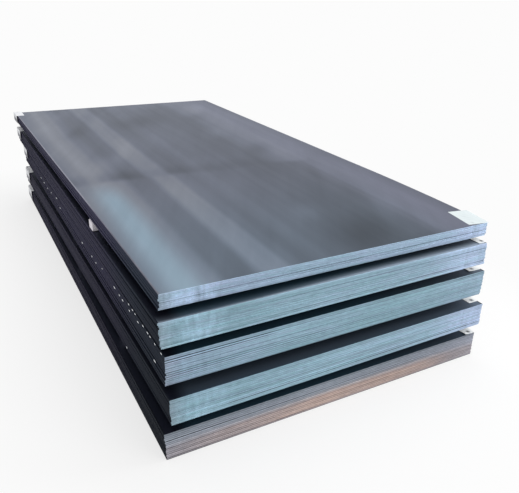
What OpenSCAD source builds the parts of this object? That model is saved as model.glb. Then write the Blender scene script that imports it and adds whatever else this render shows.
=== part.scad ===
// Stack of steel plates: packs of loose plates, one above the other, held apart by timber
// bearers, with a paper label at two corners of each pack.
// Millimetres. +Z is up, +Y runs along the plates, and the near end is at -Y.
// The origin is the middle of the underside of the pack on the ground.

/* [Plate] */
// Width of a plate, across the stack
plate_w = 1500; // [1000:10:2000]
// Length of a plate, along the stack
plate_l = 3000; // [2000:10:4000]
// Thickness of a plate
plate_t = 8; // [5:0.5:12]
// Air that scale and burrs leave between two plates of a pack
plate_air = 0.4; // [0.1:0.05:0.5]
// Farthest that a plate has slipped sideways in its pack
plate_slip = 2; // [0:0.5:6]
// Farthest that a plate's end stands out of its pack's end
plate_step = 1; // [0:0.5:6]
// Most that a plate has turned in its pack, in degrees
plate_skew = 0.05; // [0:0.01:0.1]

/* [Packs] */
// Plates in the pack on the ground
pack_1_plates = 14; // [2:1:20]
// Plates in the second pack
pack_2_plates = 13; // [2:1:20]
// Plates in the third pack
pack_3_plates = 14; // [2:1:20]
// Plates in the fourth pack
pack_4_plates = 12; // [2:1:20]
// Plates in the top pack
pack_5_plates = 7; // [2:1:20]
// Farthest that a pack has slid sideways from the pack on the ground
pack_slide = 14; // [0:1:40]
// Farthest that a pack has crept along the stack
pack_creep = 52; // [0:1:80]
// Most that a pack has turned out of square, in degrees
pack_turn = 0.65; // [0:0.05:1]
// Most that a pack leans sideways over its height
pack_lean = 5.5; // [0:0.5:10]

/* [Bearers] */
// Height of a bearer, which holds two packs apart
bearer_h = 38; // [20:1:80]
// Width of a bearer, along the stack
bearer_w = 63; // [40:1:100]
// Distance from a plate's end to the middle of the outer bearers
bearer_end = 700; // [500:10:900]
// Most that a row of bearers lies off the middle of the stack
bearer_shift = 180; // [0:10:250]
// Distance that a bearer's end stops short of a plate's long side
bearer_inset = 25; // [0:5:100]
// Most that a bearer has been pushed sideways
bearer_push = 28; // [0:1:60]
// Eased corner of a bearer's section
bearer_ease = 3; // [1:0.5:6]

/* [Labels] */
// Width of a label, across the stack where it lies flat
label_w = 105; // [80:5:120]
// Length of a label, along the stack
label_l = 148; // [100:1:200]
// Thickness of a label
label_t = 0.4; // [0.2:0.1:1]
// Inner radius of a label's fold over a long side
label_fold_r = 2; // [1:0.5:4]
// Most that a label lies back from a plate's end, or stands past it
label_setback = 30; // [0:1:60]
// Distance from the top label's middle to the right long side
top_label_side = 34; // [20:1:100]
// Distance from the top label's middle to the near end
top_label_end = 81; // [60:1:120]
// Turn of the top label, in degrees
top_label_turn = -8.5; // [-15:0.5:15]

/* [Hidden] */
// Packs from the ground up
pack_plates = [pack_1_plates, pack_2_plates, pack_3_plates, pack_4_plates, pack_5_plates];
slide_shares = [0, 0.64, 1, -0.56, -0.19];
creep_shares = [0, -0.05, 0.5, 0.48, 1];
turn_shares = [0, 0.67, 0.32, 0.64, 0.98];
lean_shares = [-0.87, -1, 0, -0.63, -0.13];
top_pack = len(pack_plates) - 1;

// Bearers: one row in each gap, from the near end to the far end
bearer_places = ["near", "middle", "far"];
shift_shares = [-0.3, 0.25, -0.15, 1];
push_shares = [[0.4, 0.3, 0.6], [0.7, 0.6, 0.8], [0.2, 0.5, 0.9], [-1, 0.3, 0.6]];
bearer_l = plate_w - 2 * bearer_inset;
bearer_pitch = plate_l / 2 - bearer_end;

// Labels: the share of the width that lies flat, and of the setback
label_ends = ["near", "far"];
near_leaf_shares = [0.51, 0.5, 0.68, 0.39];
far_leaf_shares = [0.32, 0.3, 0.38, 0.42, 0.48];
near_setback_shares = [0.1, 1, 0.75, 0.35];
far_setback_shares = [0.5, 0.9, 0.5, 0.3, -1];
fold_step = 15;
fold_turn = 90;
// Farthest that any plate reaches sideways from its pack's middle line
edge_reach = plate_w / 2 + plate_slip + pack_lean / 2 + plate_l / 2 * sin(plate_skew);

plate_pitch = plate_t + plate_air;
packs = [0 : top_pack];
gaps = [0 : top_pack - 1];
function pack_name(k) = str("pack_", k + 1);
function bearer_name(k, c) = str("bearer_", k + 1, "_", bearer_places[c]);
function label_name(k, e) = str("label_", k + 1, "_", label_ends[e]);

// Height of a pack, and of its underside above the ground
function pack_h(k) = pack_plates[k] * plate_pitch - plate_air;
function pack_z(k) = k == 0 ? 0 : pack_z(k - 1) + pack_h(k - 1) + bearer_h;

// Even draws from -1 to 1, three for each plate of a pack, the same on every build
function slip_draws(k) = rands(-1, 1, 3 * pack_plates[k], k + 1);

// Share of the lean at a plate, from -0.5 at the pack's underside to 0.5 at its top
function height_share(k, i) = i / (pack_plates[k] - 1) - 0.5;

// Puts a thing in the frame of a pack: its middle, on its underside
module on_pack(k) {
    translate([pack_slide * slide_shares[k], pack_creep * creep_shares[k], pack_z(k)])
        rotate([0, 0, pack_turn * turn_shares[k]])
            children();
}

// One flat plate, with its middle over the origin
module plate() {
    translate([-plate_w / 2, -plate_l / 2, 0])
        cube([plate_w, plate_l, plate_t]);
}

// A pack: loose plates on one another, each a little slipped and turned
module pack(k) {
    draws = slip_draws(k);
    color("lightslategray")
        on_pack(k)
            for (i = [0 : pack_plates[k] - 1]) {
                lean = pack_lean * lean_shares[k] * height_share(k, i);
                side = plate_slip * draws[3 * i] + lean;
                end = plate_step * draws[3 * i + 1];
                translate([side, end, plate_pitch * i])
                    rotate([0, 0, plate_skew * draws[3 * i + 2]])
                        plate();
            }
}

// Section of a bearer, sawn and eased at its four corners
module bearer_section() {
    half_w = bearer_w / 2;
    flat_w = half_w - bearer_ease;
    flat_h = bearer_h - bearer_ease;
    polygon([
        [-flat_w, 0], [flat_w, 0], [half_w, bearer_ease], [half_w, flat_h],
        [flat_w, bearer_h], [-flat_w, bearer_h], [-half_w, flat_h], [-half_w, bearer_ease]
    ]);
}

// A bearer across the stack, in the gap above pack k
module bearer(k, c) {
    along = bearer_pitch * (c - 1) + bearer_shift * shift_shares[k];
    across = bearer_push * push_shares[k][c];
    color("burlywood")
        translate([across - bearer_l / 2, along, pack_z(k) + pack_h(k)])
            rotate([90, 0, 90])
                linear_extrude(bearer_l)
                    bearer_section();
}

// Points of a label's fold, round the fold's own middle
function fold_arc(r, angles) = [for (a = angles) [r * sin(a), r * cos(a) - label_fold_r]];

// Section of a folded label: a leaf flat on the plate, a fold, and a flap that hangs down
module label_section(leaf) {
    outer_r = label_fold_r + label_t;
    flap = label_w - leaf - PI / 2 * label_fold_r;
    flap_z = -label_fold_r - flap;
    leaf_end = [[-leaf, 0], [-leaf, label_t]];
    flap_end = [[outer_r, flap_z], [label_fold_r, flap_z]];
    outer = fold_arc(outer_r, [0 : fold_step : fold_turn]);
    inner = fold_arc(label_fold_r, [fold_turn : -fold_step : 0]);
    polygon(concat(leaf_end, outer, flap_end, inner));
}

// A label folded over the right long side of pack k, back from the near end
module folded_label(k, leaf, setback) {
    translate([edge_reach, label_l + setback - plate_l / 2, pack_h(k)])
        rotate([90, 0, 0])
            linear_extrude(label_l)
                label_section(leaf);
}

// The label that lies flat on the top pack, turned and past its right long side
module flat_label(k) {
    translate([plate_w / 2 - top_label_side, top_label_end - plate_l / 2, pack_h(k)])
        rotate([0, 0, top_label_turn])
            translate([-label_w / 2, -label_l / 2, 0])
                cube([label_w, label_l, label_t]);
}

// Label at the near right corner of a pack
module near_label(k) {
    color("white")
        on_pack(k)
            if (k == top_pack) flat_label(k);
            else folded_label(k, label_w * near_leaf_shares[k], label_setback * near_setback_shares[k]);
}

// Label at the far left corner of a pack
module far_label(k) {
    color("white")
        on_pack(k)
            rotate([0, 0, 180])
                folded_label(k, label_w * far_leaf_shares[k], label_setback * far_setback_shares[k]);
}

for (k = packs) {
    pack(k);
    near_label(k);
    far_label(k);
}
for (k = gaps, c = [0 : len(bearer_places) - 1])
    bearer(k, c);
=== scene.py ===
"""Stack of steel plates: dresses the packs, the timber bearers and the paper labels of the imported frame."""
import math

import bpy
import numpy as np
from mathutils import Matrix, Vector


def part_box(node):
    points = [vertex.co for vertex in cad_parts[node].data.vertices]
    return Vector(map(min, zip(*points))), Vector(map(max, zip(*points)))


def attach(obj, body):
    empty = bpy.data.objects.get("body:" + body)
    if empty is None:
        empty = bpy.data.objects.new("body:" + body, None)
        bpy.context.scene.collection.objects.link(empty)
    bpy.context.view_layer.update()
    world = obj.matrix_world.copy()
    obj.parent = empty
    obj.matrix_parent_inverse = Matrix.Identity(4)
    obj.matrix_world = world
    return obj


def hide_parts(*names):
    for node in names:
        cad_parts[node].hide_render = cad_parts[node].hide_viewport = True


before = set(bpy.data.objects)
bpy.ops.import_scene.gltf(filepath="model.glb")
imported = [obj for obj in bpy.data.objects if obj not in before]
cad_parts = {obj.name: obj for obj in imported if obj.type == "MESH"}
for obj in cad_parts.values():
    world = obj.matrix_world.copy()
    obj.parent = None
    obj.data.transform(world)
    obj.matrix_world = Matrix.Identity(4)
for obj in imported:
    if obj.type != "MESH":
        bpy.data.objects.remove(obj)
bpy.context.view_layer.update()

# Metres in a millimetre, and the angle between faces at which smooth shading ends
MM = 0.001
SHARP_ANGLE = math.radians(40)

# Packs, which every table of packs counts from the ground up
PACK_COUNT = 5
TOP_PACK = PACK_COUNT - 1
BEARER_PLACES = ("near", "middle", "far")

# Seeds of the random draws: the step between the gaps' bearers, and the first near and far label
GAP_SEEDS = 10
NEAR_LABEL_SEED = 20
FAR_LABEL_SEED = 30

# Half the width and half the length of a plate, in metres
PLATE_HALF = (0.75, 1.5)


def paint(red, green, blue):
    """A colour in linear light, from eight-bit screen values."""
    screen = np.array([red, green, blue]) / 255
    light = np.where(screen > 0.04045, ((screen + 0.055) / 1.055) ** 2.4, screen / 12.92)
    return (*light.tolist(), 1.0)


# Colours
FAR_STEEL = paint(91, 95, 108)
NEAR_STEEL = paint(86, 96, 108)
PALE_STEEL = paint(95, 97, 104)
RIGHT_STEEL = paint(93, 95, 109)
BLUE_STREAK = paint(126, 146, 160)
# Painted shade of the gaps: the colours of the faces that other plates cover
COVERED_SHADE_BLUE = paint(62, 91, 109)
COVERED_SHADE_GREY = paint(78, 90, 104)
COVERED_RIM_SHADE = paint(38, 41, 56)
# Painted light where light comes into a gap at its near end
LIGHT_STRIP_COLOUR = paint(158, 172, 188)
TEAL_END = paint(145, 182, 197)
LAVENDER_END = paint(167, 184, 212)
DULL_END = paint(151, 150, 160)
RUST = paint(196, 171, 160)
# Scale on the long sides, partly real dark scale and partly painted shade
DARK_SCALE_SHADE = paint(34, 34, 48)
PALE_SCALE_SHADE = paint(46, 45, 64)
NEAR_SCALE_SHADE = paint(35, 41, 52)
# Painted highlight along the rolled rim of the top face
RIM_HIGHLIGHT = paint(150, 151, 163)
# Painted glints: the near-white colours of the burrs on the long sides
GREY_GLINT_BURR = paint(225, 230, 238)
WHITE_GLINT_BURR = paint(250, 250, 252)
PALE_WOOD = paint(250, 248, 255)
RING_WOOD = paint(234, 227, 236)
PAPER_FLAP_DARK = paint(84, 84, 98)
PAPER_RULE = paint(120, 130, 140)
PAPER_BLOCK = paint(48, 54, 64)
WHITE = paint(252, 252, 252)

# Depths of the fine relief of each finish
ROLLED_GRAIN = 0.02 * MM
SHEARED_GRAIN = 0.1 * MM
SCALE_GRAIN = 0.1 * MM
SAWN_GRAIN = 0.5 * MM
PAPER_GRAIN = 0.15 * MM

# Camera, in metres and degrees: place, target and roll; the picture's width and the focal length, in pixels;
# and the sensor's width, in millimetres
CAMERA_PLACE = Vector((-1.2395, -3.014, 1.5504))
CAMERA_TARGET = Vector((-0.2669, -1.2636, 0.648))
CAMERA_ROLL = math.radians(-1.838)
IMAGE_WIDTH = 519
FOCAL_PIXELS = 579.85
SENSOR_WIDTH = 36.0

# Studio: the floor's half width and drop, the share of its own white beside the stack and the distance
# over which that rises to 1; the sky's strength on matt surfaces; each lamp's place, aim, size and power
FLOOR_HALF = 9.0
FLOOR_DROP = 0.8 * MM
FLOOR_LIFT_SHARE = 0.72
FLOOR_FADE = 0.9
SKY_STRENGTH = 0.65
SOFT_LIGHTS = {
    "front_light": ((2.2, -5.2, 2.8), (0.0, -1.2, 0.35), 3.0, 75.0),
    "top_light": ((0.6, 0.8, 4.6), (0.0, 0.2, 0.6), 4.0, 60.0),
    "right_light": ((4.0, -2.2, 2.3), (0.7, -1.2, 0.35), 2.0, 72.0),
}

# Plates: the order of their finishes, and cells across and along a face
FACE, END, SIDE = range(3)
CELLS_ACROSS = 24
CELLS_ALONG = 48

# Edge of a plate from its top face down, sheared at the ends and milled along the sides: insets, shares
# of the thickness and of the tear; the most that the cut bows and tears, and the sines in a slow wave
END_INSETS = np.array([5.5, 1.1, 0.6, 0.28, 0.08, 0.0, 0.0, 0.22, 0.42, 0.34, 0.1, 0.3, 0.8]) * MM
SIDE_INSETS = np.array([5.5, 0.4, 0.2, 0.08, 0.02, 0.0, 0.0, 0.03, 0.06, 0.05, 0.02, 0.06, 0.2]) * MM
EDGE_DEPTH_SHARES = np.array([0.0, 0.0, 0.012, 0.05, 0.115, 0.2, 0.4, 0.45, 0.68, 0.9, 0.965, 1.0, 1.0])
EDGE_TEAR_SHARES = np.array([0.0, 0.0, 0.0, 0.0, 0.0, 0.0, 0.2, 1.0, 1.0, 0.8, 0.3, 0.1, 0.0])
EDGE_BOW = 0.7 * MM
EDGE_TEAR = 0.3 * MM
WAVES = 9

# Sag of the top pack past its near bearer: share of the length, and drops of the two near corners
SAG_SHARE = 0.28
TOP_SAG = np.array([6.7, 14.7]) * MM

# Sheared ends, by pack: share across from the left, tone, and turn from teal to lavender
END_LOOKS = (
    ((0.0, 0.94, 0.2), (0.05, 0.87, 0.2), (0.11, 0.9, 0.2), (0.16, 0.87, 0.2), (0.45, 0.88, 0.1),
     (0.65, 0.78, 0.2), (0.8, 0.79, 0.3), (0.9, 0.77, 0.5), (1.0, 0.92, 0.7)),
    ((0.0, 0.76, 0.1), (0.05, 0.92, 0.1), (0.1, 0.95, 0.2), (0.16, 0.8, 0.1), (0.45, 0.86, 0.2),
     (0.65, 0.81, 0.3), (0.8, 0.86, 0.4), (0.9, 1.0, 0.8), (1.0, 0.96, 1.0)),
    ((0.0, 0.8, 0.7), (0.05, 0.79, 0.55), (0.16, 0.8, 0.4), (0.45, 0.75, 0.1), (0.8, 0.7, 0.1),
     (1.0, 0.74, 0.4)),
    ((0.0, 0.8, 0.2), (0.05, 0.9, 0.1), (0.11, 0.93, 0.3), (0.16, 0.74, 0.1), (0.45, 0.8, 0.2),
     (0.65, 0.75, 0.2), (0.8, 0.79, 0.45), (0.9, 0.97, 0.8), (1.0, 0.94, 0.8)),
    ((0.0, 0.92, 0.4), (0.05, 1.2, 0.7), (0.11, 1.08, 0.9), (0.16, 0.88, 0.7), (0.45, 0.84, 0.5),
     (0.8, 0.91, 0.65), (0.9, 1.03, 0.9), (1.0, 1.1, 0.85)),
)

# Upright rubs on the ends: strength by pack; and at the left and right corner, the places between
# which they grow, and their strength
UPRIGHT_SHARES = (0.15, 0.7, 0.4, 1.0, 1.1)
CORNER_RUBS = ((-0.46, -0.58, 0.9), (0.56, 0.66, 0.6))

# Plates whose ends are paler or darker, by pack: plate from the top down, and change of tone
PLATE_MARKS = (
    {0: -0.4, 1: -0.2, 2: -0.16, 6: 0.18, 7: 0.12, 11: 0.16, 12: 0.06},
    {0: -0.16, 8: -0.09, 9: 0.24, 10: -0.08, 11: 0.02, 12: 0.08},
    {0: -0.05, 1: -0.06, 2: 0.1, 12: 0.08},
    {0: 0.12, 4: -0.05, 5: -0.05, 7: 0.07, 8: -0.04, 10: -0.06, 11: 0.14},
    {2: -0.03, 3: -0.1, 4: -0.03, 5: -0.1, 6: -0.07},
)

# Bright lip and dull tear of a sheared end, the lip's very top lightened as painted light against the shade
# from above: share of the thickness from the top, and tone; then how strongly they show at the left,
# middle and right, by pack
SHEAR_ZONES = ((0.0, 1.05), (0.1, 1.15), (0.4, 1.15), (0.5, 0.9), (1.0, 0.86))
LINE_SHARES = ((1.0, 0.9, 0.7), (0.2, 0.8, 0.5), (1.0, 0.5, 0.4), (0.1, 0.5, 0.4), (0.0, 0.0, 0.1))

# Dark seams between the plates' ends, painted shade in the joins between plates: shares of the thickness
# over which they darken, darkness of a seam of depth 1, the least tone left, the deepest seam, and the most
# that chance deepens a usual one; then, by pack, usual depths at the left, middle and right, and the seams
# that differ: share of the height from the top, shares across from and to, and depth, with the share over
# which they fade
SEAM_ZONE = (0.55, 0.9)
SEAM_SHADE_DARKNESS = 0.85
SEAM_LEAST_TONE = 0.1
SEAM_LIMIT = 1.5
SEAM_CHANCE = 2.4
SEAM_SHARES = ((0.5, 0.3, 0.2), (0.12, 0.15, 0.15), (0.85, 0.3, 0.1), (0.1, 0.15, 0.12), (0.15, 0.15, 0.15))
LISTED_SEAMS = (
    ((0.21, 0.0, 0.15, 0.6), (0.36, 0.35, 1.0, 0.8), (0.5, 0.0, 0.12, 0.5), (0.71, 0.0, 1.0, 0.8),
     (0.93, 0.0, 0.4, 0.9), (1.0, 0.0, 1.0, 0.7)),
    ((0.62, 0.15, 0.65, 0.6), (0.85, 0.15, 1.0, 1.5)),
    ((0.07, 0.9, 1.0, 0.9), (0.14, 0.0, 0.25, 1.5), (0.21, 0.0, 0.25, 1.4), (0.43, 0.0, 1.0, 0.05),
     (0.64, 0.0, 0.4, 0.9), (0.86, 0.35, 1.0, 0.4)),
    ((0.25, 0.3, 1.0, 0.35), (0.83, 0.3, 1.0, 0.8)),
    ((0.57, 0.0, 1.0, 1.0), (0.71, 0.3, 0.7, 0.4), (0.86, 0.6, 1.0, 0.5)),
)
SEAM_FADE = 0.06

# Rust and dull scale on the ends of the pack on the ground, by shares of its height from the top and
# across, and the dull left corner of every pack
RUSTY_PACK = 0
RUST_FALLS = ((0.35, 0.6, 0.95, 1.0), (0.0, 1.0, 1.0, 0.5))
RUST_ACROSS = ((0.0, 0.13, 0.4, 0.8, 0.9, 1.0), (0.1, 0.4, 1.0, 0.9, 0.3, 0.2))
DULL_FALLS = ((0.0, 0.35, 0.6, 1.0), (0.7, 0.8, 0.95, 1.0))
DULL_CORNER = ((0.0, 0.04), (0.35, 0.0))

# Long sides at shares along from the near end, by pack: tone
SIDE_STOPS = (0.03, 0.12, 0.28, 0.6, 1.0)
SIDE_TONES = ((0.52, 0.66, 0.8, 1.0, 1.1), (0.64, 0.78, 0.95, 1.05, 0.95), (1.05, 1.15, 1.65, 1.45, 1.25),
              (0.85, 1.2, 1.38, 1.35, 1.2), (1.7, 1.9, 2.1, 1.8, 1.6))

# Scale on the long sides, its darkness partly painted shade of the sides away from the light: the reach
# of its near colour, the share and tone of the painted groove shade over each plate, the share of the
# rim's painted highlight, and the places along between which that highlight becomes whole
NEAR_SCALE_REACH = (-0.7, -1.3)
GROOVE_SHARE = 0.1
GROOVE_SHADE_TONE = 0.8
RIM_SHARE = 0.08
RIM_HIGHLIGHT_REACH = (-1.0, -0.4)

# Covered faces, seen only in the gaps and coloured dark as painted shade of the gaps: tone by pack; the
# tones and the shares across over which they turn grey; and the places across between which they darken
# to their left rim, a deeper painted shade
COVERED_TONES = (1.0, 1.35, 1.0, 1.1, 1.0)
GREY_TONES = (1.1, 1.3)
GREY_SHARES = (0.4, 1.0)
LEFT_SHADE_REACH = (-0.64, -0.71)

# Painted light at the near end of one covered face, where light comes into the gap: its depth, the depth
# and strength of its bright lip, and its strength by share across
STRIP_PACK = 3
STRIP_DEPTH = 55.0 * MM
STRIP_LIP = 16.0 * MM
STRIP_LIP_STRENGTH = 2.0
STRIP_ACROSS = ((0.0, 0.25, 0.5, 0.8, 1.0), (0.3, 0.35, 0.8, 0.9, 1.0))

# Open rolled face, its tones partly mill-scale bands and partly painted reflection: tones by share across,
# beyond the cross band and before it, and how far they wander
FAR_BANDS = ((0.0, 1.05), (0.03, 1.25), (0.065, 1.62), (0.105, 1.3), (0.14, 0.9), (0.18, 0.64),
             (0.225, 0.75), (0.255, 1.3), (0.305, 1.3), (0.335, 0.76), (0.385, 0.65), (0.44, 0.86),
             (0.48, 0.74), (0.56, 0.72), (0.62, 0.62), (0.69, 0.62), (0.75, 0.92), (0.81, 1.16),
             (0.86, 1.25), (0.92, 1.13), (1.0, 0.85))
NEAR_BANDS = ((0.0, 1.35), (0.03, 1.35), (0.065, 1.65), (0.105, 1.6), (0.14, 1.42), (0.18, 0.9),
              (0.235, 0.87), (0.27, 1.44), (0.32, 1.36), (0.345, 0.97), (0.385, 0.82), (0.44, 0.98),
              (0.47, 0.84), (0.56, 0.75), (0.62, 0.66), (0.7, 0.6), (0.8, 0.68), (0.825, 0.8),
              (0.85, 1.08), (0.93, 1.13), (1.0, 0.85))
BAND_WANDER = 0.03

# Cross band on that face, in metres along: its place and bend, the length over which the tones change,
# and the reach of its shade beyond it; before it, the ends and the share of the quick and of the slow
# part of that shade; and its depth at the left and right
CROSS_BAND = -0.26
CROSS_BEND = 0.06
CROSS_CHANGE = 0.08
CROSS_BEYOND = 0.16
CROSS_SHADES = ((0.09, 0.02, 0.4), (0.34, 0.04, 0.6))
CROSS_DEPTHS = (0.28, 0.06)

# Colour of that face: the reach and the tones of its cold part, the tones that turn pale, the shares
# across of its right-hand colour, and the middle, half width and reach of its blue streak
COLD_REACH = (-0.26, -1.4)
COLD_TONES = (3.0, 1.0)
PALE_TONES = (0.9, 1.5)
RIGHT_SHARES = (0.7, 0.95)
STREAK_SHARES = (0.075, 0.072)
STREAK_REACH = (-0.26, -0.6)

# Oil marks on that face, leaning as a rag was drawn: middle, half sizes, and change of tone
WIPE_LEAN = 0.35
WIPE_TURN = math.radians(27)
OIL_MARKS = (
    (-0.54, 1.3, 0.13, 0.32, 0.2), (-0.33, 1.2, 0.09, 0.45, -0.3), (0.2, 1.5, 0.45, 0.25, 0.25),
    (-0.05, 0.95, 0.3, 0.3, -0.3), (0.5, 1.25, 0.17, 0.3, 0.32), (0.4, 0.95, 0.12, 0.2, -0.2),
    (-0.51, 0.75, 0.11, 0.27, -0.3), (-0.33, 0.3, 0.08, 0.35, 0.18), (-0.12, 0.4, 0.14, 0.3, 0.18),
    (0.33, 0.47, 0.14, 0.22, 0.18), (-0.51, 0.0, 0.14, 0.27, 0.38), (0.39, -0.02, 0.13, 0.22, -0.33),
    (0.17, -1.33, 0.25, 0.3, -0.34), (0.1, -1.03, 0.11, 0.14, 0.2), (0.47, -1.1, 0.09, 0.25, 0.25),
    (0.45, -0.55, 0.07, 0.3, -0.14), (-0.46, -1.5, 0.08, 0.4, -0.16), (0.42, -1.5, 0.2, 0.15, -0.15),
)

# Paper labels, one paper in three tones as painted light: greyer on the open top and whiter in the gaps'
# shade; the ends of the paper's colour, the strength of its dark block, and how dark its flap turns towards
# its free end
LABEL_LOOKS = {
    "top": (paint(208, 218, 220), paint(218, 227, 229), 0.2, 0.0),
    "near": (paint(248, 252, 255), paint(253, 255, 255), 1.0, 0.0),
    "far": (paint(238, 240, 246), paint(250, 251, 253), 0.3, 0.85),
}

# Print on a label, by its shares: middle and half size of the ruled patch and of the dark block;
# number, edges and strength of the rules; and the reach of the flap's darkening
RULED_PATCH = ((0.4, 0.34), (0.55, 0.4))
DARK_BLOCK = ((0.3, 0.14), (0.12, 0.1))
RULE_COUNT = 9.0
RULE_EDGE = (0.28, 0.24)
RULE_STRENGTH = 0.25
FLAP_DARK_SHARES = (0.58, 0.82)

# Shape of a label: air under it, outer radius of its fold, curl of its leaf, wave of its flap, the length
# that sets how it hangs past a side, how far it stays inside its solid, and the points of its grids
PAPER_LIFT = 0.02 * MM
FOLD_R = 2.4 * MM
LEAF_CURL = 4.0 * MM
FLAP_WAVE = 1.2 * MM
HANG_LENGTH = 600.0 * MM
LABEL_SHY = 0.1 * MM
LEAF_ROWS, FOLD_ROWS, FLAP_ROWS = 16, 9, 14
FOLDED_COLUMNS = 28
FLAT_GRID = (21, 41)

# Timber bearers: eased corners, wander of the saw, rings along the length, steps on a side of the
# section; the shrinking rings that close an end, their rise as a share of the
# wander, and their flatness; and the corners of the box in which the tree's heart lies
BEARER_EASE = 3.0 * MM
SAWN_WANDER = 0.8 * MM
BEARER_STATIONS = 60
SECTION_STEPS = 6
CAP_SHARES = (0.3, 0.65, 0.93)
CAP_RISE_SHARE = 0.9
CAP_FLATNESS = 8
HEART_REACH = ((0.0, -0.05, -0.09), (5.0, 0.05, -0.03))

# Bright burrs on left long sides, near-white as painted glints: pack, shares of the length from the near end
# and of the pack's height, and size; then half sizes of a burr across, along and up, and the steps round
# and along it
BURRS = (
    (2, 0.011, 0.95, 0.8), (2, 0.032, 0.95, 0.8), (2, 0.049, 0.95, 0.7), (2, 0.058, 0.94, 0.8),
    (2, 0.075, 0.95, 0.8), (2, 0.095, 0.92, 0.9), (2, 0.106, 0.95, 0.7), (2, 0.117, 0.96, 0.8),
    (2, 0.133, 0.97, 0.8), (2, 0.131, 0.74, 0.9), (2, 0.161, 0.68, 0.9), (2, 0.176, 0.77, 1.0),
    (2, 0.2, 0.69, 1.4), (2, 0.265, 0.67, 0.6), (2, 0.305, 0.63, 0.6), (2, 0.33, 0.64, 1.1),
    (2, 0.395, 0.43, 1.5), (2, 0.035, 0.31, 1.2), (2, 0.575, 0.57, 1.2), (2, 0.602, 0.65, 1.5),
    (2, 0.663, 0.63, 1.2), (2, 0.703, 0.53, 1.2), (2, 0.743, 0.57, 1.4), (2, 0.78, 0.51, 1.2),
    (1, 0.17, 0.05, 0.7),
)
BURR_HALF = np.array([1.2, 11.0, 3.0]) * MM
BURR_AROUND = 10
BURR_ALONG = 9


# Meshes

def mesh_piece(name, points, quads, triangles=(), finishes=(), finish_index=None, fields=None):
    """A smooth mesh object from arrays of points and faces, sharp where faces meet at a steep angle.
    Fields are named numbers, or triples of numbers, for each point."""
    corners = np.concatenate([np.ravel(quads), np.ravel(triangles)])
    sizes = np.concatenate([np.full(len(quads), 4), np.full(len(triangles), 3)])
    starts = np.cumsum(sizes) - sizes
    mesh = bpy.data.meshes.new(name)
    mesh.vertices.add(len(points))
    mesh.vertices.foreach_set("co", np.ravel(points).astype(np.float32))
    mesh.loops.add(len(corners))
    mesh.loops.foreach_set("vertex_index", corners.astype(np.int32))
    mesh.polygons.add(len(sizes))
    mesh.polygons.foreach_set("loop_start", starts.astype(np.int32))
    for finish in finishes:
        mesh.materials.append(finish)
    if finish_index is not None:
        mesh.polygons.foreach_set("material_index", finish_index.astype(np.int32))
    for title, values in (fields or {}).items():
        kind, key = ("FLOAT", "value") if values.ndim == 1 else ("FLOAT_VECTOR", "vector")
        mesh.attributes.new(title, kind, "POINT").data.foreach_set(key, np.ravel(values).astype(np.float32))
    mesh.update(calc_edges=True)
    mesh.validate()
    mesh.shade_smooth()
    mesh.set_sharp_from_angle(angle=SHARP_ANGLE)
    piece = bpy.data.objects.new(name, mesh)
    bpy.context.scene.collection.objects.link(piece)
    return piece


def place_piece(piece, slot, *nodes):
    """The piece rides on the stack and stands for its solids; its slot is not used."""
    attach(piece, "root")
    if nodes:
        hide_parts(*nodes)


def node_points(name):
    """The points of a solid, one row each."""
    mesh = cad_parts[name].data
    points = np.empty(3 * len(mesh.vertices), np.float32)
    mesh.vertices.foreach_get("co", points)
    return points.reshape(-1, 3).astype(float)


def four_corners(points):
    """Near left, near right, far right and far left of a nearly square-set rectangle: the mean of the
    points in each quarter about its middle."""
    middle = (points.min(0) + points.max(0)) / 2
    right, far = points[:, 0] > middle[0], points[:, 1] > middle[1]
    quarters = (~right & ~far, right & ~far, right & far, ~right & far)
    return np.array([points[quarter].mean(0) for quarter in quarters])


def across_corners(corners, u, v):
    """The point at shares u and v of a four-cornered patch: a straight blend of its corners."""
    near = corners[0] + np.multiply.outer(u, corners[1] - corners[0])
    far = corners[3] + np.multiply.outer(u, corners[2] - corners[3])
    return near + (far - near) * np.asarray(v)[..., None]


def slow_waves(draw, turn):
    """A smooth closed wave from -1 to 1 round a full turn: a sum of sines, lower as they shorten."""
    counts = np.arange(1, WAVES + 1)
    phases = draw.uniform(0, math.tau, WAVES)
    heights = draw.uniform(0.5, 1, WAVES) / counts ** 0.5
    wave = np.sin(np.multiply.outer(turn, counts) * math.tau + phases) @ heights
    return wave / np.abs(wave).max()


def closed_rings(rings, first_pole, last_pole):
    """Points and faces of a tube of rings closed by a pole at each end. Seen from the last pole, the rings
    turn anticlockwise."""
    rows, columns = rings.shape[:2]
    points = np.concatenate([rings.reshape(-1, 3), [first_pole, last_pole]])
    index = np.arange(rows * columns).reshape(rows, columns)
    beside = np.roll(index, -1, 1)
    quads = np.stack([index[:-1], beside[:-1], beside[1:], index[1:]], -1).reshape(-1, 4)
    first = np.stack([beside[0], index[0], np.full(columns, rows * columns)], -1)
    last = np.stack([index[-1], beside[-1], np.full(columns, rows * columns + 1)], -1)
    return points, quads, np.concatenate([first, last])


def grid_faces(rows, columns):
    """The faces of a grid of points, and its border from the first corner along the rows and round."""
    index = np.arange(rows * columns).reshape(rows, columns)
    faces = np.stack([index[:-1, :-1], index[1:, :-1], index[1:, 1:], index[:-1, 1:]], -1).reshape(-1, 4)
    border = np.concatenate([index[:-1, 0], index[-1, :-1], index[:0:-1, -1], index[0, :0:-1]])
    return faces, border


def join_skins(points, *face_lists):
    """Several skins as one: their points, and lists of faces, each counted on from the points before."""
    starts = np.cumsum([0] + [len(skin) for skin in points[:-1]])
    joined = [np.concatenate([faces + start for faces, start in zip(rows, starts)]) for rows in face_lists]
    return np.concatenate(points), *joined


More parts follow.
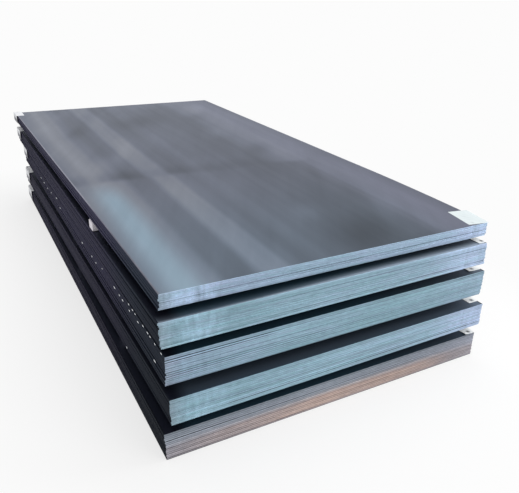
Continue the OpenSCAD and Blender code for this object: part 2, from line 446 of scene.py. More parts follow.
def closed_sheet(upper, lower):
    """Points and faces of a thin sheet: two grids of the same count, closed along their common border."""
    faces, border = grid_faces(*upper.shape[:2])
    points = np.concatenate([upper.reshape(-1, 3), lower.reshape(-1, 3)])
    under = len(points) // 2
    ahead = np.roll(border, -1)
    rim = np.stack([border, border + under, ahead + under, ahead], -1)
    return points, np.concatenate([faces, faces[:, ::-1] + under, rim])


# Finishes

def new_finish(name, roughness, metallic, specular):
    """A node material with the values that are the same all over, and its tree and surface shader."""
    material = bpy.data.materials.new(name)
    material.use_nodes = True
    surface = material.node_tree.nodes["Principled BSDF"]
    surface.inputs["Roughness"].default_value = roughness
    surface.inputs["Metallic"].default_value = metallic
    surface.inputs["Specular IOR Level"].default_value = specular
    return material, material.node_tree, surface


def feed(surface, name, value):
    """Joins a socket to an input of the surface shader."""
    surface.id_data.links.new(value, surface.inputs[name])


def add(tree, kind, inputs, **settings):
    """A node with its settings, and with each input set to a value or joined to a socket."""
    node = tree.nodes.new("ShaderNode" + kind)
    for name, value in settings.items():
        setattr(node, name, value)
    for key, value in inputs.items():
        if isinstance(value, bpy.types.NodeSocket):
            tree.links.new(value, node.inputs[key])
        else:
            node.inputs[key].default_value = value
    return node


def node_from(kind, inputs, output=0, **settings):
    """An output of a node in the tree of the sockets that are joined to it."""
    tree = next(value.id_data for value in inputs.values() if isinstance(value, bpy.types.NodeSocket))
    return add(tree, kind, inputs, **settings).outputs[output]


def calc(operation, first, second=0.0):
    """The result of a sum on two numbers or sockets."""
    return node_from("Math", {0: first, 1: second}, operation=operation)


def product(first, *others):
    """Numbers and sockets multiplied together."""
    result = first
    for other in others:
        result = calc("MULTIPLY", result, other)
    return result


def ease(value, low, high):
    """0 below low, 1 above high and a smooth step between; the other way round if high is under low."""
    inputs = {"Value": value, "From Min": min(low, high), "From Max": max(low, high),
              "To Min": float(low > high), "To Max": float(low < high)}
    return node_from("MapRange", inputs, interpolation_type="SMOOTHSTEP")


def bump_share(value, middle, half):
    """1 at the middle, falling smoothly to 0 at half a width on either side."""
    return ease(calc("ABSOLUTE", calc("SUBTRACT", value, middle)), half, 0.0)


def swing(value, low, high):
    """A number from low to high as a value goes from 0 to 1."""
    return node_from("MapRange", {"Value": value, "To Min": low, "To Max": high})


def cloud(place, scales, detail=3.0):
    """Noise from 0 to 1, with its own number of patches to the metre along each axis."""
    spread = node_from("VectorMath", {0: place, 1: scales}, operation="MULTIPLY")
    return node_from("TexNoise", {"Vector": spread, "Scale": 1.0, "Detail": detail})


def mottle(place, scales, change, detail=4.0):
    """A tone about 1, which a cloud makes lighter or darker by up to a share."""
    return swing(cloud(place, scales, detail), 1 - change, 1 + change)


def blend(share, first, second):
    """Two colours mixed by a share."""
    return node_from("Mix", {0: share, 6: first, 7: second}, 2, data_type="RGBA")


def tone_ramp(share, stops):
    """A tone about 1 read off a row of stops: the ramp holds half of each, because it ends at 1."""
    read = node_from("ValToRGB", {0: share})
    read.node.color_ramp.interpolation = "EASE"
    marks = read.node.color_ramp.elements
    marks.remove(marks[-1])
    marks[0].position = stops[0][0]
    for place, _ in stops[1:]:
        marks.new(place)
    for mark, (_, tone) in zip(marks, stops):
        mark.color = (tone / 2, tone / 2, tone / 2, 1.0)
    return product(read, 2.0)


def toned(colour, tone):
    """A colour made lighter or darker by a tone, where 1 leaves it alone."""
    return node_from("VectorMath", {0: colour, "Scale": tone}, operation="SCALE")


def object_place(tree):
    """Object coordinates, whole and as three numbers."""
    place = add(tree, "TexCoord", {}).outputs["Object"]
    return place, add(tree, "SeparateXYZ", {0: place}).outputs


def field(tree, name, output="Fac"):
    """A number, or three as a vector, that the mesh keeps at each point."""
    return add(tree, "Attribute", {}, attribute_name=name).outputs[output]


def roughen(surface, height, depth):
    """Bump from a height from 0 to 1, with its depth in metres."""
    bump = node_from("Bump", {"Height": height, "Strength": 1.0, "Distance": depth})
    feed(surface, "Normal", bump)


def band_tone(y, side, across, bent):
    """Tone of the open rolled face, partly painted reflection: its bands by share across, which change at the
    cross band, plus the leaning oil marks, less the shade of the cross band."""
    near_part = ease(bent, CROSS_BAND, CROSS_BAND - CROSS_CHANGE)
    tone = blend(near_part, tone_ramp(across, FAR_BANDS), tone_ramp(across, NEAR_BANDS))
    leaning = calc("SUBTRACT", side, product(y, WIPE_LEAN))
    for middle_x, middle_y, half_x, half_y, change in OIL_MARKS:
        over = bump_share(leaning, middle_x - WIPE_LEAN * middle_y, half_x)
        mark = product(over, bump_share(y, middle_y, half_y), change)
        tone = calc("ADD", tone, mark)
    quick, slow = (product(ease(bent, CROSS_BAND - start, CROSS_BAND - end), share)
                   for start, end, share in CROSS_SHADES)
    beyond = ease(bent, CROSS_BAND + CROSS_BEYOND, CROSS_BAND)
    shade = product(beyond, calc("ADD", quick, slow), swing(across, *CROSS_DEPTHS))
    return calc("SUBTRACT", tone, shade)


def open_face_colour(place, y, side, across, bent):
    """Colour of the open rolled face: steel that turns cold towards the near end and pale where its tone
    is high, under faint streaks, wipes and clouds, with a blue streak along the left of the near part."""
    wiped = node_from("Mapping", {"Vector": place, "Rotation": (0.0, 0.0, WIPE_TURN)})
    streaks = mottle(place, (34, 0.6, 0), 0.04)
    wipes = mottle(wiped, (6, 0.9, 0), 0.18)
    fine_wipes = mottle(wiped, (22, 2.6, 0), 0.1)
    clouds = mottle(place, (3, 1.8, 0), 0.14)
    marks = product(streaks, wipes, fine_wipes, clouds)
    tone = product(band_tone(y, side, across, bent), marks)
    cold = product(ease(bent, *COLD_REACH), ease(tone, *COLD_TONES))
    steel = blend(ease(tone, *PALE_TONES), FAR_STEEL, PALE_STEEL)
    steel = blend(cold, steel, NEAR_STEEL)
    steel = blend(ease(across, *RIGHT_SHARES), steel, RIGHT_STEEL)
    streak = product(bump_share(across, *STREAK_SHARES), ease(y, *STREAK_REACH))
    return blend(streak, toned(steel, tone), toned(BLUE_STREAK[:3], marks))


def painted_gap_colour(tree, x, across, covered):
    """Colour of a rolled face that another one covers, painted as the shade inside the gaps, and the share
    of its strip of painted light: dark blue, greyer to the right, nearly black along the left long side
    as deeper painted shade, and pale at the near end, as painted light, where it has the strip."""
    grey_share = calc("MAXIMUM", ease(covered, *GREY_TONES), ease(across, *GREY_SHARES))
    steel = blend(grey_share, COVERED_SHADE_BLUE, COVERED_SHADE_GREY)
    # Painted shade: nearly black along the left long side, where the gap is darkest
    steel = blend(ease(x, *LEFT_SHADE_REACH), toned(steel, covered), COVERED_RIM_SHADE)
    # Painted light: a pale strip with a brighter lip at the near end of one covered face
    from_near = field(tree, "from_near")
    lip = product(ease(from_near, STRIP_LIP, 0.0), STRIP_LIP_STRENGTH)
    off_end = calc("ADD", ease(from_near, STRIP_DEPTH, 0.0), lip)
    light_strip = calc("MINIMUM", product(field(tree, "painted_light_strip"), off_end), 1.0)
    return blend(light_strip, steel, LIGHT_STRIP_COLOUR), light_strip


def rolled_face_finish():
    """Rolled steel: the open face's colour where nothing covers it, and elsewhere the covered face's painted
    gap shade, with a fine grain along the rolling direction. The strip of painted light is hardly metal."""
    material, tree, surface = new_finish("rolled_face", 0.4, 0.75, 0.4)
    surface.inputs["Specular Tint"].default_value = (0.86, 0.91, 1.0, 1.0)
    place, (x, y, _) = object_place(tree)
    wander = swing(cloud(place, (1.2, 0.7, 0)), -BAND_WANDER, BAND_WANDER)
    side = calc("ADD", x, wander)
    across = calc("ADD", calc("DIVIDE", side, 2 * PLATE_HALF[0]), 0.5)
    bend = swing(cloud(place, (3, 0.8, 0)), -CROSS_BEND, CROSS_BEND)
    bent = calc("ADD", y, bend)
    covered = field(tree, "covered")
    open_face = open_face_colour(place, y, side, across, bent)
    painted_gap, light_strip = painted_gap_colour(tree, x, across, covered)
    colour = blend(calc("GREATER_THAN", covered, 0.0), open_face, painted_gap)
    feed(surface, "Base Color", colour)
    feed(surface, "Metallic", swing(light_strip, 0.75, 0.1))
    feed(surface, "Roughness", swing(cloud(place, (20, 1, 0)), 0.36, 0.46))
    roughen(surface, cloud(place, (500, 6, 0), 2), ROLLED_GRAIN)
    return material


def sheared_end_finish():
    """Sheared steel: a bright burnished lip, lightened at its top as painted light, over a duller torn zone,
    dark with painted shade at its broken seam, tinted from teal to lavender, with upright rubs near the
    corners, and dull or rusty where its pack is."""
    material, tree, surface = new_finish("sheared_end", 0.42, 0.55, 0.5)
    place, (x, _, _) = object_place(tree)
    depth = field(tree, "edge_depth")
    broken = swing(ease(cloud(place, (5, 5, 125), 2), 0.36, 0.6), 0.5, 1.0)
    # Painted shade: darker in the join under each plate's end, broken up by a cloud
    seam_shade = product(field(tree, "seam_shade"), broken, ease(depth, *SEAM_ZONE), SEAM_SHADE_DARKNESS)
    unshaded = calc("MAXIMUM", calc("SUBTRACT", 1.0, seam_shade), SEAM_LEAST_TONE)
    # Partly painted light: the rollover at the top of each end is lightened against the shade from above
    zones = calc("SUBTRACT", tone_ramp(depth, SHEAR_ZONES), 1.0)
    lines = calc("ADD", product(zones, field(tree, "lines")), 1.0)
    tone = product(lines, unshaded, swing(field(tree, "plate_tone"), 0.93, 1.07))
    left, right = (product(ease(x, start, end), strength) for start, end, strength in CORNER_RUBS)
    rubs_and_highlight = product(calc("ADD", left, right), field(tree, "upright"))
    upright = calc("SUBTRACT", cloud(place, (50, 50, 9)), 0.5)
    tone = calc("ADD", tone, product(upright, rubs_and_highlight))
    flecks = mottle(place, (45, 45, 120), 0.24, 3)
    scratches = mottle(place, (7, 7, 500), 0.08, 3)
    runs = mottle(place, (2.5, 2.5, 125), 0.24, 2)
    tone = product(tone, flecks, scratches, runs, field(tree, "end_tone"))
    tints = swing(cloud(place, (6, 6, 70), 4), -0.7, 0.7)
    lavender = calc("ADD", field(tree, "lavender"), tints)
    steel = blend(lavender, TEAL_END, LAVENDER_END)
    steel = blend(field(tree, "dull"), steel, DULL_END)
    patches = swing(cloud(place, (5, 5, 60), 4), 0.45, 1.25)
    steel = blend(product(field(tree, "rust"), patches), steel, RUST)
    feed(surface, "Base Color", toned(steel, tone))
    roughen(surface, cloud(place, (300, 300, 120)), SHEARED_GRAIN)
    return material


def mill_edge_finish():
    """Long edges as they come from the mill: smooth blue-black scale whose darkness is partly painted shade,
    darker in the grooves between plates as painted shade, and with a painted highlight where the top face
    of the stack rolls over."""
    material, tree, surface = new_finish("mill_edge", 0.75, 0.0, 0.06)
    place, (_, y, _) = object_place(tree)
    # Partly painted shade: the near-black scale also stands for the shade on the long sides
    scale_and_shade = blend(cloud(place, (3, 3, 25), 4), DARK_SCALE_SHADE, PALE_SCALE_SHADE)
    scale_and_shade = blend(ease(y, *NEAR_SCALE_REACH), scale_and_shade, NEAR_SCALE_SHADE)
    depth = field(tree, "edge_depth")
    own_tone = swing(field(tree, "plate_tone"), 0.96, 1.04)
    # Painted shade: darker at the top of each plate's edge, in the groove under the plate above
    groove_shade = swing(ease(depth, 0.0, GROOVE_SHARE), GROOVE_SHADE_TONE, 1.0)
    tone = product(field(tree, "side_tone"), own_tone, groove_shade)
    # Painted highlight along the rolled left rim of the stack's top face, broken up by a cloud
    highlight_breaks = swing(cloud(place, (9, 9, 9)), 0.15, 0.9)
    highlight_breaks = calc("MAXIMUM", highlight_breaks, ease(y, *RIM_HIGHLIGHT_REACH))
    rubs_and_highlight = product(field(tree, "rim"), ease(depth, RIM_SHARE, 0.0), highlight_breaks)
    colour = blend(rubs_and_highlight, toned(scale_and_shade, tone), RIM_HIGHLIGHT)
    feed(surface, "Base Color", colour)
    roughen(surface, cloud(place, (200, 60, 300)), SCALE_GRAIN)
    return material


def glint_burr_finish():
    """Near-white metal as a painted glint, with a faint smear of tone."""
    material, tree, surface = new_finish("glint_burr", 0.35, 0.6, 0.5)
    place, _ = object_place(tree)
    colour = blend(cloud(place, (60, 60, 200)), GREY_GLINT_BURR, WHITE_GLINT_BURR)
    feed(surface, "Base Color", colour)
    return material


def timber_finish():
    """Pale sawn timber: growth rings about the heart, grain along the length, saw marks across it."""
    material, tree, surface = new_finish("sawn_timber", 0.75, 0.0, 0.25)
    board = field(tree, "board", "Vector")
    wander = cloud(board, (2, 14, 14))
    rings = node_from("TexWave", {"Vector": board, "Scale": 38.0, "Distortion": 2.5, "Detail": 2.0},
                      wave_type="RINGS", rings_direction="X")
    grain = product(calc("ADD", rings, wander), 0.5)
    colour = blend(grain, PALE_WOOD, RING_WOOD)
    fibres = swing(cloud(board, (12, 500, 500), 2), 0.92, 1.06)
    feed(surface, "Base Color", toned(colour, fibres))
    roughen(surface, cloud(board, (260, 20, 20), 2), SAWN_GRAIN)
    return material


def paper_finish(where, dark, pale, block_share, flap_dark_share):
    """Label paper with plain grey rules and one dark block, set by the label's own two shares, and darker
    towards the free end of its flap."""
    material, tree, surface = new_finish(f"{where}_paper", 0.55, 0.0, 0.35)
    u, v, _ = add(tree, "SeparateXYZ", {0: field(tree, "label_share", "Vector")}).outputs
    place, _ = object_place(tree)
    paper = blend(cloud(place, (25, 25, 25)), dark, pale)
    paper = blend(product(ease(u, *FLAP_DARK_SHARES), flap_dark_share), paper, PAPER_FLAP_DARK)
    ruled, blocked = ([bump_share(share, *span) for share, span in zip((u, v), patch)]
                      for patch in (RULED_PATCH, DARK_BLOCK))
    pitch = calc("FRACT", product(v, RULE_COUNT))
    rules = product(ease(pitch, *RULE_EDGE), *ruled, RULE_STRENGTH)
    colour = blend(rules, paper, PAPER_RULE)
    colour = blend(product(*blocked, block_share), colour, PAPER_BLOCK)
    feed(surface, "Base Color", colour)
    roughen(surface, cloud(place, (90, 90, 90)), PAPER_GRAIN)
    return material


# Packs

def plate_layers(name):
    """The four corners and the two levels of every plate of a pack, lowest plate first: the solid's
    points lie in layers by height, two to a plate."""
    points = node_points(name)
    heights = points[:, 2].round(5)
    levels = np.unique(heights).reshape(-1, 2)
    return [(four_corners(points[heights == low])[:, :2], low, high) for low, high in levels]


def plate_grid():
    """Shares u and v of a face's grid, its faces, its border from the near left corner and anticlockwise,
    and whether each stretch of the border lies on a long side."""
    shares = [np.linspace(0, 1, cells + 1) for cells in (CELLS_ACROSS, CELLS_ALONG)]
    u, v = np.meshgrid(*shares, indexing="ij")
    long_side = np.repeat([False, True, False, True], [CELLS_ACROSS, CELLS_ALONG] * 2)
    return u, v, *grid_faces(*u.shape), long_side


def near_sag(u, v, drops):
    """How far a plate hangs down at shares u and v: by its drops at the near corners, straight between
    them, and with the square of the distance past the near bearer."""
    return np.interp(u, (0, 1), drops) * np.clip(1 - v / SAG_SHARE, 0, 1) ** 2


def plate_skin(draw, corners, low, high, drops):
    """Points, faces, finish of each face, and for each point its shares across and along and its depth in
    the edge, for one plate: two face grids, and between them the edge's profile carried round. A point's
    inset is the profile's, plus a slow bow of the cut and the wander of its torn zone."""
    u, v, faces, border, long_side = plate_grid()
    width, length = np.linalg.norm(corners[1] - corners[0]), np.linalg.norm(corners[3] - corners[0])
    turn = np.arange(len(border)) / len(border)
    bow = EDGE_BOW * (0.5 + 0.5 * slow_waves(draw, turn))
    tear = EDGE_TEAR * (0.5 + 0.5 * slow_waves(draw, turn * 4))
    wander = bow + EDGE_TEAR_SHARES[:, None] * tear
    shares = []
    for grid, insets, size in ((u, SIDE_INSETS, width), (v, END_INSETS, length)):
        inset = (insets[:, None] + wander) / size
        rings = inset + grid.ravel()[border] * (1 - 2 * inset)
        top, bottom = grid.ravel().copy(), grid.ravel().copy()
        top[border] = rings[0]
        bottom[border] = rings[-1]
        shares.append(np.concatenate([top, rings[1:-1].ravel(), bottom]))
    across, along = shares
    edge_shares = np.repeat(EDGE_DEPTH_SHARES[1:-1], len(border))
    depth = np.concatenate([np.zeros(u.size), edge_shares, np.ones(u.size)])
    level = high - (high - low) * depth - near_sag(across, along, drops)
    points = np.column_stack([across_corners(corners, across, along), level])
    under = len(points) - u.size
    middle = np.arange(u.size, under).reshape(-1, len(border))
    loops = np.vstack([border, middle, under + border])
    ahead = np.roll(loops, -1, 1)
    edge = np.stack([loops[:-1], loops[1:], ahead[1:], ahead[:-1]], -1)
    edge_finish = np.tile(np.where(long_side, SIDE, END), (len(edge), 1))
    edge_finish[0] = np.where(long_side, SIDE, FACE)
    edge_finish[-1] = FACE
    quads = np.concatenate([faces, edge.reshape(-1, 4), faces[:, ::-1] + under])
    face_finish = np.full(len(faces), FACE)
    finish = np.concatenate([face_finish, edge_finish.ravel(), face_finish])
    return points, quads, finish, {"across": across, "along": along, "edge_depth": depth}


def plate_fields(pack, down, count, draw, across, along, edge_depth):
    """The look of a plate, so many down in a pack of a count, at each of its points: its pack's values at
    shares across and along, with its own tone and seam."""
    every = np.ones(len(across))
    fall = down / (count - 1)
    open_face = pack == TOP_PACK and down == 0
    rusty = float(pack == RUSTY_PACK)
    light_strip_plate = float(pack == STRIP_PACK and down == 0)
    stops, tones, lavender = np.array(END_LOOKS[pack]).T
    own_tone = 1 + PLATE_MARKS[pack].get(down, 0.0)
    # Painted shade between plates: how dark the lower part of each plate's end is
    seam_shade = np.interp(across, (0, 0.5, 1), SEAM_SHARES[pack]) * SEAM_CHANCE * draw.uniform() ** 2
    for share, start, end, seam_depth in LISTED_SEAMS[pack]:
        if round(share * count) == down + 1:
            reach = np.interp(across, (start - SEAM_FADE, start, end, end + SEAM_FADE), (0, 1, 1, 0))
            seam_shade = seam_shade + (seam_depth - seam_shade) * reach
    return {
        "edge_depth": edge_depth,
        "plate_tone": every * draw.uniform(),
        "end_tone": np.interp(across, stops, tones) * own_tone,
        "lavender": np.interp(across, stops, lavender),
        "dull": np.maximum(rusty * np.interp(fall, *DULL_FALLS), np.interp(across, *DULL_CORNER)),
        "rust": rusty * np.interp(fall, *RUST_FALLS) * np.interp(across, *RUST_ACROSS),
        # Where the rim's painted highlight goes: the open top plate only
        "rim": every * open_face,
        "side_tone": np.interp(along, SIDE_STOPS, SIDE_TONES[pack]),
        "upright": every * UPRIGHT_SHARES[pack],
        "lines": np.interp(across, (0, 0.5, 1), LINE_SHARES[pack]),
        "seam_shade": np.clip(seam_shade, 0, SEAM_LIMIT),
        # Tone of a covered face's painted gap shade
        "covered": every * (0 if open_face else COVERED_TONES[pack]),
        "from_near": along * 2 * PLATE_HALF[1],
        "painted_light_strip": light_strip_plate * np.interp(across, *STRIP_ACROSS),
    }


def pack_piece(pack, finishes):
    """All plates of a pack as one mesh, each with its own look, from their layers, which are returned."""
    name = f"pack_{pack + 1}"
    draw = np.random.default_rng(pack + 1)
    layers = plate_layers(name)
    drops = TOP_SAG if pack == TOP_PACK else np.zeros(2)
    skins, looks = [], []
    for plate, (corners, low, high) in enumerate(layers):
        *skin, spots = plate_skin(draw, corners, low, high, drops)
        skins.append(skin)
        looks.append(plate_fields(pack, len(layers) - 1 - plate, len(layers), draw, **spots))
    points, quads, finish = zip(*skins)
    fields = {key: np.concatenate([look[key] for look in looks]) for key in looks[0]}
    piece = mesh_piece(f"plates_{pack + 1}", *join_skins(points, quads), finishes=finishes,
                       finish_index=np.concatenate(finish), fields=fields)
    place_piece(piece, "plate_steel", name)
    return layers


def burr_piece(packs, finish):
    """Bright burrs on left long sides, their near-white finish a painted glint: flattened balls, each on the
    edge of the plate that stands out farthest at its height. A ball is rings of circles about the stack's
    long direction."""
    draw = np.random.default_rng(len(BURRS))
    around = np.arange(BURR_AROUND) / BURR_AROUND * math.tau
    along = np.linspace(0, math.pi, BURR_ALONG)[1:-1]
    ball = np.stack([np.multiply.outer(np.sin(along), np.cos(around)),
                     -np.multiply.outer(np.cos(along), np.ones_like(around)),
                     np.multiply.outer(np.sin(along), -np.sin(around))], -1)
    skins = []
    for pack, share, rise, size in BURRS:
        layers = packs[pack]
        level = min(int(rise * len(layers)), len(layers) - 1)
        beside = layers[max(level - 1, 0):level + 2]
        corners, low, high = min(beside, key=lambda layer: across_corners(layer[0], 0.0, share)[0])
        middle = np.array([*across_corners(corners, 0.0, share), (low + high) / 2])
        half = BURR_HALF * (1, size, 1) * draw.uniform(0.8, 1, 3)
        tip = np.array([0.0, half[1], 0.0])
        skins.append(closed_rings(middle + ball * half, middle - tip, middle + tip))
    place_piece(mesh_piece("edge_glint_burrs", *join_skins(*zip(*skins)), (finish,)), "plate_steel")


# Bearers

def bearer_piece(name, seed, finish):
    """A sawn bearer: an eased rectangle carried along its length, drawn in by slow waves of the saw, with
    its ends closed by shrinking rings."""
    draw = np.random.default_rng(seed)
    low, high = (np.array(corner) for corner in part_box(name))
    middle, half = (low + high) / 2, (high - low) / 2
    flat_y, flat_z = half[1:] - BEARER_EASE
    outline = np.array([[half[1], -flat_z], [half[1], flat_z], [flat_y, half[2]], [-flat_y, half[2]],
                        [-half[1], flat_z], [-half[1], -flat_z], [-flat_y, -half[2]], [flat_y, -half[2]]])
    sides = np.roll(outline, -1, 0) - outline
    share = np.arange(SECTION_STEPS)[:, None] / SECTION_STEPS
    section = (outline[:, None] + sides[:, None] * share).reshape(-1, 2)
    along = np.linspace(-1, 1, BEARER_STATIONS)
    turn = np.arange(len(section)) / len(section)
    wave = np.add.outer(slow_waves(draw, along / 2), slow_waves(draw, turn))
    rub = 1 - SAWN_WANDER / half[1:].mean() * (0.5 + 0.25 * wave)
    body = np.empty((BEARER_STATIONS, len(section), 3))
    body[..., 0] = (along * (half[0] - SAWN_WANDER))[:, None]
    body[..., 1:] = section * rub[..., None]
    ends = []
    for end, shares in ((0, CAP_SHARES), (-1, CAP_SHARES[::-1])):
        shares = np.array(shares)[:, None, None]
        cap = np.repeat(body[end][None], len(shares), 0)
        cap[..., 1:] *= shares
        rise = SAWN_WANDER * (1 - shares[..., 0] ** CAP_FLATNESS) * CAP_RISE_SHARE
        cap[..., 0] += np.sign(body[end, 0, 0]) * rise
        ends.append(cap)
    rings = np.concatenate([ends[0], body, ends[1]])
    reach = half[0] - (1 - CAP_RISE_SHARE) * SAWN_WANDER
    poles = [np.array([side * reach, 0.0, 0.0]) for side in (-1, 1)]
    points, quads, triangles = closed_rings(rings, *poles)
    heart = draw.uniform(*HEART_REACH)
    piece = mesh_piece(f"sawn_{name}", points + middle, quads, triangles, (finish,),
                       fields={"board": points + heart})
    place_piece(piece, "bearer_timber", name)


# Labels

def paper_piece(name, sheets, u, v, finish):
    """A label as a thin sheet between two grids, which keeps its two shares at each point."""
    points, quads = closed_sheet(*sheets)
    shares = np.stack([u, v, np.zeros_like(u)], -1).reshape(-1, 3)
    piece = mesh_piece(f"paper_{name}", points, quads, finishes=(finish,),
                       fields={"label_share": np.tile(shares, (2, 1))})
    place_piece(piece, "label_paper", name)


def pack_turn(layers):
    """The turn of a pack about the upright, as a matrix from its own directions to the stack's: that of
    its plates' near edges, taken together."""
    near_edge = np.array([corners[1] - corners[0] for corners, _, _ in layers]).sum(0)
    yaw = math.atan2(near_edge[1], near_edge[0])
    return np.array([[math.cos(yaw), -math.sin(yaw), 0], [math.sin(yaw), math.cos(yaw), 0], [0, 0, 1]])


def right_reach(corners, turn, start, end):
    """How far a plate's right long side stands out between two places along its pack: the farther of its
    two places there, on the straight line between its corners."""
    near, far = corners[[1, 2]] @ turn[:2, :2]
    return np.interp((start, end), (near[1], far[1]), (near[0], far[0])).max()


def label_path(inner, outer, top, low):
    """Place across, height and tilt along the outside of a folded label: along the leaf from its free
    end, round a quarter circle, and down the flap."""
    bend = np.linspace(0, math.pi / 2, FOLD_ROWS)
    leaf = np.linspace(inner, outer - FOLD_R, LEAF_ROWS)[:-1]
    flap = np.linspace(top - FOLD_R, low, FLAP_ROWS)[1:]
    across = np.concatenate([leaf, outer - FOLD_R + FOLD_R * np.sin(bend), np.full(len(flap), outer)])
    height = np.concatenate([np.full(len(leaf), top), top - FOLD_R + FOLD_R * np.cos(bend), flap])
    tilt = np.concatenate([np.zeros(len(leaf)), bend, np.full(len(flap), math.pi / 2)])
    return across, height, tilt


def folded_label_piece(name, layers, side, curl, seed, finish):
    """A label folded over a long side: the path of its section, carried along the label. On the right
    side it lies close to the plates that its flap hangs past. The leaf's free end curls up with the cube
    of its distance from the fold, and the flap waves in and out."""
    draw = np.random.default_rng(seed)
    turn = pack_turn(layers)
    square = node_points(name) @ turn
    low, high = square.min(0), square.max(0)
    depth = high[2] - layers[-1][2]
    solid_outer = high[0] if side > 0 else -low[0]
    outer = solid_outer - LABEL_SHY
    if side > 0:
        beside = [right_reach(corners, turn, low[1], high[1]) for corners, _, top in layers if top > low[2]]
        outer = min(max(beside) + FLAP_WAVE + depth, outer)
    inner = (low[0] if side > 0 else -high[0]) + outer - solid_outer
    across, height, tilt = label_path(inner, outer, high[2], low[2])
    length = np.linspace(low[1] + LABEL_SHY, high[1] - LABEL_SHY, FOLDED_COLUMNS)
    share = np.linspace(0, 1, FOLDED_COLUMNS)
    off_leaf = np.clip((outer - FOLD_R - across) / (outer - FOLD_R - inner), 0, 1)
    down_flap = np.clip((high[2] - FOLD_R - height) / (high[2] - FOLD_R - low[2]), 0, 1)
    lift = np.multiply.outer(curl * off_leaf ** 3, 0.6 + 0.4 * slow_waves(draw, share * 0.4))
    pull = np.multiply.outer(FLAP_WAVE * down_flap ** 2, 0.5 + 0.5 * slow_waves(draw, share * 0.5))
    sheets = []
    for under in (0, depth - PAPER_LIFT):
        x = side * ((across - under * np.sin(tilt))[:, None] - pull)
        z = (height - under * np.cos(tilt))[:, None] + lift
        sheets.append(np.stack([x, np.broadcast_to(length, x.shape), z], -1) @ turn.T)
    if side < 0:
        sheets = [sheet[:, ::-1] for sheet in sheets]
    run = np.concatenate([[0], np.cumsum(np.hypot(np.diff(across), np.diff(height)))])
    u, v = np.meshgrid(run / run[-1], share, indexing="ij")
    paper_piece(name, sheets, u, v, finish)


def flat_label_piece(name, layers, finish):
    """The label on the top face: a sheet that follows the sag of the plate, and past the right long side
    also hangs with the square of its reach."""
    points = node_points(name)
    high = points[:, 2].max()
    top_corners, _, plate_top = layers[-1]
    corners = four_corners(points[np.isclose(points[:, 2], high)])[:, :2]
    u, v = np.meshgrid(*(np.linspace(0, 1, count) for count in FLAT_GRID), indexing="ij")
    flat = across_corners(corners, u.ravel(), v.ravel()).reshape(*u.shape, 2)
    near_edge, left_edge = top_corners[1] - top_corners[0], top_corners[3] - top_corners[0]
    across = (flat - top_corners[0]) @ near_edge / (near_edge @ near_edge)
    along = (flat - top_corners[0]) @ left_edge / (left_edge @ left_edge)
    reach = np.clip(across - 1, 0, None) * np.linalg.norm(near_edge)
    level = high - near_sag(across, along, TOP_SAG) - reach ** 2 / HANG_LENGTH
    thick = high - plate_top - PAPER_LIFT
    sheets = [np.concatenate([flat, (level - under)[..., None]], -1) for under in (0, thick)]
    paper_piece(name, sheets, u, v, finish)


# Studio

def seen_ray(tree):
    """1 for rays from the eye and for their mirror and glass paths, 0 for matt ones."""
    path = add(tree, "LightPath", {}).outputs
    seen = calc("MAXIMUM", path["Is Camera Ray"], path["Is Glossy Ray"])
    return calc("MAXIMUM", seen, path["Is Transmission Ray"])


def studio_floor():
    """A pale floor that keeps the stack's shadow: mostly its own white to the eye, and matt to light."""
    half, drop = FLOOR_HALF, -FLOOR_DROP
    points = np.array([[-half, -half, drop], [half, -half, drop], [half, half, drop], [-half, half, drop]])
    material = bpy.data.materials.new("pale_floor")
    material.use_nodes = True
    tree = material.node_tree
    tree.nodes.clear()
    matt = add(tree, "BsdfDiffuse", {"Color": WHITE}).outputs[0]
    glow = add(tree, "Emission", {"Color": WHITE, "Strength": 1.0}).outputs[0]
    _, spot = object_place(tree)
    past_side, past_end = (calc("SUBTRACT", calc("ABSOLUTE", way), half_plate)
                           for way, half_plate in zip(spot, PLATE_HALF))
    away = calc("DIVIDE", calc("MAXIMUM", past_side, past_end), FLOOR_FADE)
    share = product(seen_ray(tree), swing(away, FLOOR_LIFT_SHARE, 1.0))
    mixed = node_from("MixShader", {0: share, 1: matt, 2: glow})
    add(tree, "OutputMaterial", {"Surface": mixed})
    mesh_piece("floor", points, np.array([[0, 1, 2, 3]]), finishes=(material,))


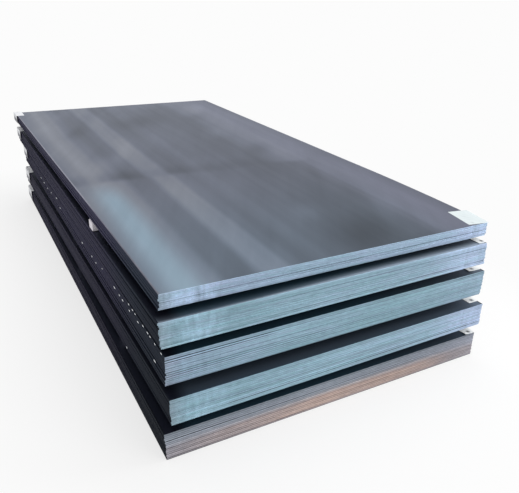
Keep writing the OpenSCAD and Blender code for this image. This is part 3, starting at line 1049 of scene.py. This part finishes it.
def studio_light():
    """White all round, dimmer to matt surfaces, and three soft lamps."""
    world = bpy.data.worlds.new("white_studio")
    world.use_nodes = True
    tree = world.node_tree
    tree.nodes.clear()
    dim = add(tree, "Background", {"Color": WHITE, "Strength": SKY_STRENGTH}).outputs[0]
    white = add(tree, "Background", {"Color": WHITE, "Strength": 1.0}).outputs[0]
    mixed = node_from("MixShader", {0: seen_ray(tree), 1: dim, 2: white})
    add(tree, "OutputWorld", {"Surface": mixed})
    bpy.context.scene.world = world
    for name, (place, aim, size, power) in SOFT_LIGHTS.items():
        lamp = bpy.data.lights.new(name, "AREA")
        lamp.size = size
        lamp.energy = power
        holder = bpy.data.objects.new(name, lamp)
        holder.location = place
        beam = Vector(aim) - Vector(place)
        holder.rotation_euler = beam.to_track_quat("-Z", "Y").to_euler()
        holder.visible_camera = False
        bpy.context.scene.collection.objects.link(holder)


def photo_camera():
    """The photograph's camera: it looks from its place to its target, rolled about its line of sight."""
    forward = (CAMERA_TARGET - CAMERA_PLACE).normalized()
    right = forward.cross(Vector((0, 0, 1))).normalized()
    down = forward.cross(right)
    cos, sin = math.cos(CAMERA_ROLL), math.sin(CAMERA_ROLL)
    right, down = cos * right + sin * down, cos * down - sin * right
    lens = bpy.data.cameras.new("photo_camera")
    lens.sensor_fit = "HORIZONTAL"
    lens.sensor_width = SENSOR_WIDTH
    lens.lens = SENSOR_WIDTH * FOCAL_PIXELS / IMAGE_WIDTH
    camera = bpy.data.objects.new("photo_camera", lens)
    turn = Matrix((right, -down, -forward)).transposed().to_4x4()
    camera.matrix_world = Matrix.Translation(CAMERA_PLACE) @ turn
    bpy.context.scene.collection.objects.link(camera)
    bpy.context.scene.camera = camera


plate_finishes = (rolled_face_finish(), sheared_end_finish(), mill_edge_finish())
timber = timber_finish()
papers = {where: paper_finish(where, *look) for where, look in LABEL_LOOKS.items()}
packs = [pack_piece(pack, plate_finishes) for pack in range(PACK_COUNT)]
burr_piece(packs, glint_burr_finish())
for gap in range(PACK_COUNT - 1):
    for row, where in enumerate(BEARER_PLACES):
        bearer_piece(f"bearer_{gap + 1}_{where}", GAP_SEEDS * gap + row, timber)
for pack, layers in enumerate(packs):
    near, far = (f"label_{pack + 1}_{end}" for end in ("near", "far"))
    on_top = pack == TOP_PACK
    curl = 0.0 if on_top else LEAF_CURL
    if on_top:
        flat_label_piece(near, layers, papers["top"])
    else:
        folded_label_piece(near, layers, 1, curl, NEAR_LABEL_SEED + pack, papers["near"])
    folded_label_piece(far, layers, -1, curl, FAR_LABEL_SEED + pack, papers["far"])
studio_floor()
studio_light()
photo_camera()
bpy.context.scene.view_settings.view_transform = "Standard"
